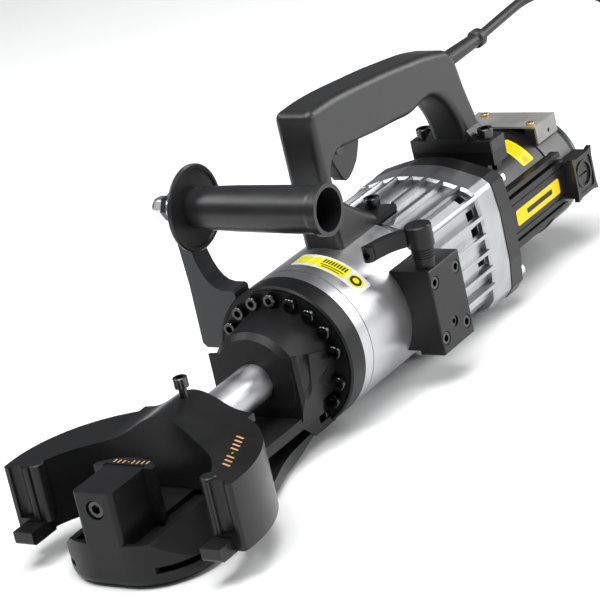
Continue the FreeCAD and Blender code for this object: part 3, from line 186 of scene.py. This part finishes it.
PRINT_FILM = {"grain": 1500, "depth": 0.05, "grain_mm": 0.02, "specular": 0.2}
FINISHES = {
    "casting_black": dict(tones=((0.0055, 0.0055, 0.006), (0.009, 0.009, 0.010)), rough=0.42,
                          specular=0.26, grain=620, depth=0.35, grain_mm=0.10),
    "forged_black": dict(tones=((0.006, 0.006, 0.0065), (0.010, 0.010, 0.0105)), rough=0.34,
                         specular=0.30, grain=1500, depth=0.12, grain_mm=0.03),
    "screw_black": dict(tones=((0.060, 0.060, 0.062), (0.095, 0.095, 0.098)), rough=0.24,
                        metallic=1.0, grain=2200, depth=0.10, grain_mm=0.02),
    "bearing_bronze": dict(tones=((0.66, 0.46, 0.20), (0.56, 0.38, 0.16)), rough=0.30,
                           metallic=1.0, grain=1800, depth=0.1),
    "seal_rubber": dict(tones=((0.022, 0.022, 0.024), (0.012, 0.012, 0.013)), rough=0.55,
                        grain=1200, depth=0.2),
    "cast_aluminium": dict(tones=((0.36, 0.365, 0.37), (0.50, 0.505, 0.51)), rough=0.36,
                           metallic=1.0, grain=900, depth=0.30, grain_mm=0.06, patches=30),
    "painted_aluminium": dict(tones=((0.006, 0.006, 0.0065), (0.010, 0.010, 0.0105)), rough=0.33,
                              specular=0.3, coat=0.1, grain=500, depth=0.18, grain_mm=0.08),
    "motor_black": dict(tones=((0.006, 0.006, 0.006), (0.009, 0.009, 0.0095)), rough=0.34,
                        specular=0.28, coat=0.1, grain=420, depth=0.12, grain_mm=0.08),
    "cover_black": dict(tones=((0.008, 0.008, 0.009), (0.013, 0.013, 0.014)), rough=0.30,
                        coat=0.15, grain=900, depth=0.15, grain_mm=0.05),
    "handle_black": dict(tones=((0.009, 0.009, 0.0095), (0.014, 0.014, 0.0145)), rough=0.38,
                         specular=0.55, grain=1500, depth=0.30, grain_mm=0.05, rough_span=0.06),
    "trigger_black": dict(tones=((0.012, 0.012, 0.013), (0.017, 0.017, 0.018)), rough=0.28,
                          grain=1500, depth=0.1, grain_mm=0.03),
    "grip_black": dict(tones=((0.010, 0.010, 0.011), (0.016, 0.016, 0.017)), rough=0.34,
                       specular=0.5, grain=1300, depth=0.25, grain_mm=0.04),
    "plate_grey": dict(tones=((0.018, 0.019, 0.021), (0.030, 0.031, 0.033)), rough=0.36,
                       coat=0.1, grain=700, depth=0.25, grain_mm=0.07),
    "plated_cover": dict(tones=((0.26, 0.26, 0.255), (0.36, 0.36, 0.35)), rough=0.42,
                         metallic=0.4, grain=1400, depth=0.25, grain_mm=0.08, patches=40),
    "zinc_steel": dict(tones=((0.62, 0.63, 0.64), (0.74, 0.75, 0.76)), rough=0.28,
                       metallic=1.0, grain=1600, depth=0.1),
    "spring_steel": dict(tones=((0.45, 0.45, 0.47), (0.55, 0.55, 0.57)), rough=0.25,
                         metallic=1.0, grain=1600, depth=0.1),
    "copper": dict(tones=((0.72, 0.36, 0.18), (0.62, 0.29, 0.13)), rough=0.28,
                   metallic=1.0, grain=1500, depth=0.12),
    "carbon": dict(tones=((0.03, 0.03, 0.032), (0.05, 0.05, 0.052)), rough=0.6,
                   grain=2200, depth=0.3),
    "cord_rubber": dict(tones=((0.012, 0.012, 0.012), (0.020, 0.020, 0.020)), rough=0.40,
                        grain=1800, depth=0.25, grain_mm=0.04),
    "gold_mark": dict(tones=((0.50, 0.27, 0.13), (0.66, 0.42, 0.24)), rough=0.42,
                      metallic=0.2, grain=2400, depth=0.3),
    "sticker_white": dict(tones=((0.78, 0.78, 0.77), (0.84, 0.84, 0.83)), rough=0.30, **PRINT_FILM),
    "sticker_yellow": dict(tones=((0.90, 0.58, 0.0), (0.94, 0.63, 0.0)), rough=0.32, **PRINT_FILM),
    "sticker_lemon": dict(tones=((0.84, 0.78, 0.0), (0.90, 0.83, 0.0)), rough=0.32, **PRINT_FILM),
    "sticker_orange": dict(tones=((0.84, 0.34, 0.01), (0.88, 0.42, 0.02)), rough=0.34, **PRINT_FILM),
    "sticker_black": dict(tones=((0.015, 0.015, 0.015), (0.022, 0.022, 0.022)), rough=0.36,
                          **PRINT_FILM),
}
LATHE_FINISHES = {
    "turned_steel": dict(colour=(0.62, 0.62, 0.63), rough=0.36, rings=(2600, 6, 6), depth=0.10),
    "chromed_steel": dict(colour=(0.60, 0.60, 0.61), rough=0.42, rings=(900, 6, 6), depth=0.05),
    "lamination": dict(colour=(0.42, 0.42, 0.44), rough=0.38, rings=(4200, 8, 8), depth=0.35),
}
MATS = {name: surface(name, **finish) for name, finish in FINISHES.items()}
MATS.update((name, turned(name, **finish)) for name, finish in LATHE_FINISHES.items())

# ---------------------------------------------------------------- the CAD nodes' finish and edges
EDGE_MM = {
    "frame_casting": 1.2, "u_head": 1.4, "former": 0.6, "side_bracket": 1.0, "valve_block": 0.4,
    "valve_gland": 0.25, "release_lever": 0.8, "pump_housing": 0.8, "motor_plate": 1.0,
    "motor_casing": 0.6, "motor_end_cover": 0.8, "motor_top_cover": 0.4, "brush_caps": 0.3,
    "handle_half_right": 0.5, "handle_half_left": 0.5, "handle_pedestal": 0.8,
    "handle_front_pad": 0.5, "trigger": 0.9, "plug": 0.6, "flange_bolts": 0.35, "m5_screws": 0.35,
    "m6_screws": 0.35, "m8_screws": 0.4, "former_screw": 0.4, "head_set_screw": 0.4,
    "grip_bolt": 0.3, "grip_dome_nut": 0.4,
}
EDGE_SEGMENTS = 2
EDGE_DEGREES = 32               # only corners sharper than this are rounded


def round_edges(obj, width_mm):
    bevel = obj.modifiers.new("edges", "BEVEL")
    bevel.width = width_mm / MM_PER_M
    bevel.segments = EDGE_SEGMENTS
    bevel.limit_method = "ANGLE"
    bevel.angle_limit = math.radians(EDGE_DEGREES)
    bevel.use_clamp_overlap = True
    bevel.harden_normals = True


def dress_nodes():
    for node, obj in NODES.items():
        obj.data.materials.clear()
        obj.data.materials.append(MATS[SLOTS[node]])
        if node in EDGE_MM:
            round_edges(obj, EDGE_MM[node])


dress_nodes()


def add_mesh(name, bm, material, sharp_degrees=40):
    """An object from a mesh under construction, smooth except at corners above that angle."""
    mesh = bpy.data.meshes.new(name)
    bm.to_mesh(mesh)
    bm.free()
    obj = bpy.data.objects.new(name, mesh)
    bpy.context.scene.collection.objects.link(obj)
    mesh.materials.append(material)
    for face in mesh.polygons:
        face.use_smooth = True
    mesh.set_sharp_from_angle(angle=math.radians(sharp_degrees))
    return obj


# ---------------------------------------------------------------- printed and painted films
FILM_SINK = 0.05                # how far a film's rim goes into the surface
FEWEST_CELLS = 6                # along each side of a film's grid


def rounded(u, v, half_u, half_v, corner):
    """A point of the rectangle, pulled in where it falls outside a rounded corner."""
    du = abs(u) - (half_u - corner)
    dv = abs(v) - (half_v - corner)
    reach = math.hypot(du, dv)
    if du > 0 and dv > 0 and reach > corner:
        u = math.copysign(half_u - corner + du * corner / reach, u)
        v = math.copysign(half_v - corner + dv * corner / reach, v)
    return u, v


def film_mesh(place, middle, half_u, half_v, corner, height, cell):
    """A rounded rectangle of thin film: place(u, v, h) lays its plan on a surface."""
    columns = max(FEWEST_CELLS, int(2 * half_u / cell))
    rows = max(FEWEST_CELLS, int(2 * half_v / cell))

    def plan(i, j):
        u = half_u * (2 * i / columns - 1)
        v = half_v * (2 * j / rows - 1)
        u, v = rounded(u, v, half_u, half_v, corner)
        return middle[0] + u, middle[1] + v

    bm = bmesh.new()
    grid = [[bm.verts.new(place(*plan(i, j), height)) for j in range(rows + 1)]
            for i in range(columns + 1)]
    for i in range(columns):
        for j in range(rows):
            bm.faces.new((grid[i][j], grid[i + 1][j], grid[i + 1][j + 1], grid[i][j + 1]))
    border = [(i, 0) for i in range(columns)] + [(columns, j) for j in range(rows)]
    border += [(i, rows) for i in range(columns, 0, -1)] + [(0, j) for j in range(rows, 0, -1)]
    rim = [bm.verts.new(place(*plan(i, j), -FILM_SINK)) for i, j in border]
    for k, (i, j) in enumerate(border):
        after = (k + 1) % len(border)
        next_i, next_j = border[after]
        bm.faces.new((grid[i][j], rim[k], rim[after], grid[next_i][next_j]))
    bmesh.ops.recalc_face_normals(bm, faces=bm.faces)
    return bm


def on_cylinder(radius):
    """Lays u along X and v as millimetres of arc from the top towards -Y."""
    def place(u, v, h):
        angle = v / radius
        return at(u, -(radius + h) * math.sin(angle), (radius + h) * math.cos(angle))
    return place


def on_side(y):
    """A face that looks along -Y: u runs along X and v up."""
    return lambda u, v, h: at(u, y - h, v)


def on_level(z, x, y, heading):
    """A plane at height z: u runs along heading, in degrees from X, and v across it."""
    c, s = math.cos(math.radians(heading)), math.sin(math.radians(heading))
    return lambda u, v, h: at(x + u * c - v * s, y + u * s + v * c, z + h)


def film(name, place, middle, half_u, half_v, corner, height, material, body="frame", cell=1.5):
    bm = film_mesh(place, middle, half_u, half_v, corner, height, cell)
    obj = add_mesh(name, bm, MATS[material])
    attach(obj, body)


# ---------------------------------------------------------------- labels
PAPER = 0.15                    # a label's height off the metal
PRINT, OVERPRINT, CORE_PRINT = 0.3, 0.45, 0.6       # and its prints' heights, one over the other
SIDE_PRINT, TOP_PRINT = 0.5, 0.35
CYLINDER_R = 56.4
MOTOR_R = 46.0
MOTOR_SIDE_Y = -48.5
TICKS, TICK_DEGREES, FIRST_TICK_DEGREES = 9, 2.3, 15.3


def build_cylinder_label():
    """A white label on the cylinder, with plain yellow fields, a row of ticks and a ringed disc."""
    barrel = on_cylinder(CYLINDER_R)
    arc = math.radians(1) * CYLINDER_R          # millimetres round the cylinder in one degree
    field_v = 24.5 * arc
    disc = (49.2, 44.5 * arc)
    film("cylinder_label", barrel, (49.0, 23 * arc), 9.3, 31 * arc, 1.5, PAPER, "sticker_white")
    for name, middle, half_u, half_v in (
        ("bar", (49.0, -1.5 * arc), 5.6, 5.8 * arc),
        ("block", (48.6, 8.6 * arc), 6.6, 3.0 * arc),
        ("field", (48.8, field_v), 7.2, 11.8 * arc),
    ):
        film("cylinder_label_" + name, barrel, middle, half_u, half_v, 0.8, PRINT, "sticker_lemon")
    for k in range(TICKS):
        v = (FIRST_TICK_DEGREES + TICK_DEGREES * k) * arc
        film("cylinder_label_tick_%d" % k, barrel, (51.6, v), 2.7, 0.65, 0.2, OVERPRINT,
             "sticker_black", cell=0.8)
    for k, (x, half_degrees) in enumerate(((46.4, 10.0), (43.8, 8.0))):
        film("cylinder_label_rule_%d" % k, barrel, (x, field_v), 0.5, half_degrees * arc, 0.3,
             OVERPRINT, "sticker_black", cell=1.0)
    for name, radius, height, material, cell in (
        ("disc", 6.4, PRINT, "sticker_lemon", 0.8),
        ("dot", 4.8, OVERPRINT, "sticker_black", 0.7),
        ("core", 2.7, CORE_PRINT, "sticker_lemon", 0.5),
    ):
        film("cylinder_label_" + name, barrel, disc, radius, radius, radius - 0.01, height,
             material, cell=cell)


def build_motor_labels():
    """Yellow labels on the motor: a dark bar on its side, and orange rules and a mark above."""
    side = on_side(MOTOR_SIDE_Y)
    film("side_label", side, (296.0, 0.0), 34.6, 6.2, 1.6, PAPER, "sticker_yellow")
    film("side_label_bar", side, (298.0, 0.0), 20.0, 1.9, 0.6, SIDE_PRINT, "sticker_black",
         cell=0.9)
    motor = on_cylinder(MOTOR_R)
    arc = math.radians(1) * MOTOR_R             # millimetres round the motor in one degree
    film("top_label", motor, (311.0, 37 * arc), 8.4, 17 * arc, 1.2, PAPER, "sticker_yellow")
    for k, half_degrees in enumerate((9.0, 10.0, 9.0, 7.0)):
        film("top_label_line_%d" % k, motor, (316.0 - 3.2 * k, (32 + k) * arc), 0.5,
             half_degrees * arc, 0.3, TOP_PRINT, "sticker_orange", cell=0.9)
    film("top_label_mark", motor, (311.0, 49 * arc), 2.8, 2.8, 2.0, TOP_PRINT, "sticker_orange",
         cell=0.8)


# ---------------------------------------------------------------- painted gauge marks
MARK_STROKES = 8
MARK_DOT = 4                    # this one of the strokes is short
PAINT = 0.08                    # the paint's height off the metal
ARM_TOP_Z = 11.5
ARM_FIRST_X, ARM_FIRST_Y, ARM_PITCH = -147.5, -60.4, 5.7
ARM_SLOPE, ARM_BOW = 0.385, 0.012
ARM_HEADING = 68
FORMER_TOP_Z = 12.8
FORMER_MIDDLE_X, FORMER_FIRST_Y, FORMER_PITCH = -195.3, -15.5, 3.9
FORMER_BOW = 0.004
FORMER_HEADING = 0


def build_arm_marks():
    """A row of strokes along the head's arm, in a shallow curve."""
    for k in range(MARK_STROKES):
        bow = ARM_BOW * k * (MARK_STROKES - 1 - k)
        x = ARM_FIRST_X - ARM_PITCH * k
        y = ARM_FIRST_Y - ARM_SLOPE * ARM_PITCH * k - bow
        half = 0.9 if k == MARK_DOT else 4.4
        film("arm_mark_%d" % k, on_level(ARM_TOP_Z, x, y, ARM_HEADING), (0, 0), half, 0.8, 0.5,
             PAINT, "gold_mark", "ram", cell=0.5)


def build_former_marks():
    """A row of strokes across the former, in a shallow curve."""
    for k in range(MARK_STROKES):
        y = FORMER_FIRST_Y + FORMER_PITCH * k
        x = FORMER_MIDDLE_X + FORMER_BOW * y * y
        half = 0.6 if k == MARK_DOT else 2.3
        film("former_mark_%d" % k, on_level(FORMER_TOP_Z, x, y, FORMER_HEADING), (0, 0), half,
             0.55, 0.3, PAINT, "gold_mark", "frame", cell=0.4)


build_cylinder_label()
build_motor_labels()
build_arm_marks()
build_former_marks()

# ---------------------------------------------------------------- trigger's spring
SPRING_X = 124
SPRING_FOOT_Z, SPRING_TOP_Z = 116.75, 132.25
SPRING_R, SPRING_WIRE_R = 2.9, 0.48
SPRING_TURNS, STEPS_PER_TURN, WIRE_SIDES = 5, 24, 8
SPRING_SHARP_DEGREES = 60


def spring_mesh():
    """A coil of round wire, closed at both ends."""
    bm = bmesh.new()
    rings = []
    steps = SPRING_TURNS * STEPS_PER_TURN
    for k in range(steps + 1):
        turn = 2 * math.pi * k / STEPS_PER_TURN
        z = SPRING_FOOT_Z + (SPRING_TOP_Z - SPRING_FOOT_Z) * k / steps
        ring = []
        for j in range(WIRE_SIDES):
            side = 2 * math.pi * j / WIRE_SIDES
            r = SPRING_R + SPRING_WIRE_R * math.cos(side)
            point = at(SPRING_X + r * math.cos(turn), r * math.sin(turn),
                       z + SPRING_WIRE_R * math.sin(side))
            ring.append(bm.verts.new(point))
        rings.append(ring)
    for low, high in zip(rings, rings[1:]):
        for j in range(WIRE_SIDES):
            after = (j + 1) % WIRE_SIDES
            bm.faces.new((low[j], low[after], high[after], high[j]))
    bm.faces.new(rings[0])
    bm.faces.new(rings[-1])
    bmesh.ops.recalc_face_normals(bm, faces=bm.faces)
    return bm


def build_spring():
    """The trigger's coil, from its foot at the trigger up into the handle, in place of the CAD
    spring.
    """
    spring = add_mesh("trigger_coil", spring_mesh(), MATS["spring_steel"], SPRING_SHARP_DEGREES)
    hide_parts("trigger_spring")
    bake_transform(spring)


build_spring()

# ---------------------------------------------------------------- cord
CORD_R = 4.0
ROUTE = [
    (337, 0, 124), (373, 0, 126.5), (408, -3, 130.5), (438, -18, 129), (458, -42, 114),
    (466, -63, 88), (468, -77, 56), (469, -87, 24), (474, -96, -6), (486, -103, -31),
    (507, -109, -49), (536, -112, -56), (560.6, -101.7, -56), (575.8, -82.5, -56),
    (581.0, -59.6, -56),
]
COIL_X, COIL_Y = 527.0, -52.0
FLOOR_TURN_Z = ROW_Z + CORD_R
UPPER_TURN_Z = FLOOR_TURN_Z + 2 * CORD_R
COIL_RADII = [52 - 2 * CORD_R * n for n in range(3)]
COIL_TURNS = [(radius, FLOOR_TURN_Z) for radius in COIL_RADII]
COIL_TURNS += [(radius, UPPER_TURN_Z) for radius in reversed(COIL_RADII)]
COIL_STEPS = 14
COIL_START_DEGREES = 12
SHIFT_PART = 0.3                # the last part of a turn moves over to the next one
COIL_TAIL = [(0.21, -48), (0.65, -47), (1.1, -46.5)]    # radians, height: up to the plug


def coil_point(radius, angle, z):
    return COIL_X + radius * math.cos(angle), COIL_Y + radius * math.sin(angle), z


def coil_points():
    """The wound cord: three turns inwards on the floor, three outwards on them, and its end."""
    points = []
    start = math.radians(COIL_START_DEGREES)
    outer = COIL_TURNS[-1]
    for (radius, z), (next_radius, next_z) in zip(COIL_TURNS, COIL_TURNS[1:] + [outer]):
        for i in range(COIL_STEPS):
            t = i / COIL_STEPS
            ease = max(0.0, (t - (1 - SHIFT_PART)) / SHIFT_PART)
            points.append(coil_point(radius + (next_radius - radius) * ease,
                                     start + 2 * math.pi * t, z + (next_z - z) * ease))
    return points + [coil_point(outer[0], angle, z) for angle, z in COIL_TAIL]


def build_cord():
    points = [at(*point) for point in ROUTE + coil_points()]
    curve = bpy.data.curves.new("power_lead", "CURVE")
    curve.dimensions = "3D"
    spline = curve.splines.new("NURBS")
    spline.points.add(len(points) - 1)
    for control, point in zip(spline.points, points):
        control.co = (*point, 1)
    spline.order_u = 3
    spline.use_endpoint_u = True
    spline.resolution_u = 6
    curve.bevel_depth = CORD_R / MM_PER_M
    curve.bevel_resolution = 5
    curve.use_fill_caps = True
    curve.materials.append(MATS["cord_rubber"])
    lead = bpy.data.objects.new("power_lead", curve)
    bpy.context.scene.collection.objects.link(lead)
    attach(lead, "frame")
    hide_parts("power_cord", "cord_coil")


build_cord()

# ---------------------------------------------------------------- floor and light, in row metres
FLOOR_HALF = 9.0
FLOOR_Z = -0.0005
FLOOR_TONES = ((0.90, 0.90, 0.90), (0.93, 0.93, 0.93))
WORLD_COLOUR = (0.95, 0.97, 1.0, 1)
WORLD_STRENGTH = 0.16
LIGHTS = {
    "top": dict(place=(-0.15, -0.25, 1.9), aim=(0.0, 0, 0.05), width=1.5, height=1.5, watts=38),
    "key": dict(place=(-1.05, 0.05, 1.75), aim=(-0.1, 0, 0.05), width=0.4, height=0.4, watts=12),
    "side": dict(place=(0.45, -1.7, 0.75), aim=(0.1, 0, 0.06), width=0.8, height=0.8, watts=8),
    "edge": dict(place=(1.55, -1.0, 0.85), aim=(0.05, 0, 0.15), width=0.8, height=1.3, watts=20),
    "far": dict(place=(-0.5, 1.25, 1.35), aim=(0, 0, 0.12), width=1.3, height=0.45, watts=12),
}


def floor_material():
    material, nodes, links, shader = new_material("floor")
    tone = two_tone(nodes, links, noise(nodes, links, 3.0, detail=3.0), *FLOOR_TONES)
    links.new(tone, shader.inputs["Base Color"])
    shader.inputs["Roughness"].default_value = 0.9
    shader.inputs["Specular IOR Level"].default_value = 0.1
    return material


def build_floor():
    bm = bmesh.new()
    bmesh.ops.create_grid(bm, x_segments=8, y_segments=8, size=FLOOR_HALF)
    floor = add_mesh("floor", bm, floor_material())
    floor.location.z = FLOOR_Z


def area_light(name, place, aim, width, height, watts):
    data = bpy.data.lights.new(name, "AREA")
    data.energy = watts
    data.shape = "RECTANGLE"
    data.size = width
    data.size_y = height
    light = bpy.data.objects.new(name, data)
    bpy.context.scene.collection.objects.link(light)
    light.location = place
    light.rotation_mode = "QUATERNION"
    light.rotation_quaternion = (Vector(aim) - Vector(place)).to_track_quat("-Z", "Y")


def build_light():
    world = bpy.data.worlds.new("studio")
    bpy.context.scene.world = world
    world.use_nodes = True
    background = world.node_tree.nodes["Background"]
    background.inputs["Color"].default_value = WORLD_COLOUR
    background.inputs["Strength"].default_value = WORLD_STRENGTH
    for name, light in LIGHTS.items():
        area_light(name, **light)


build_floor()
build_light()
bpy.context.scene.view_settings.view_transform = "Standard"
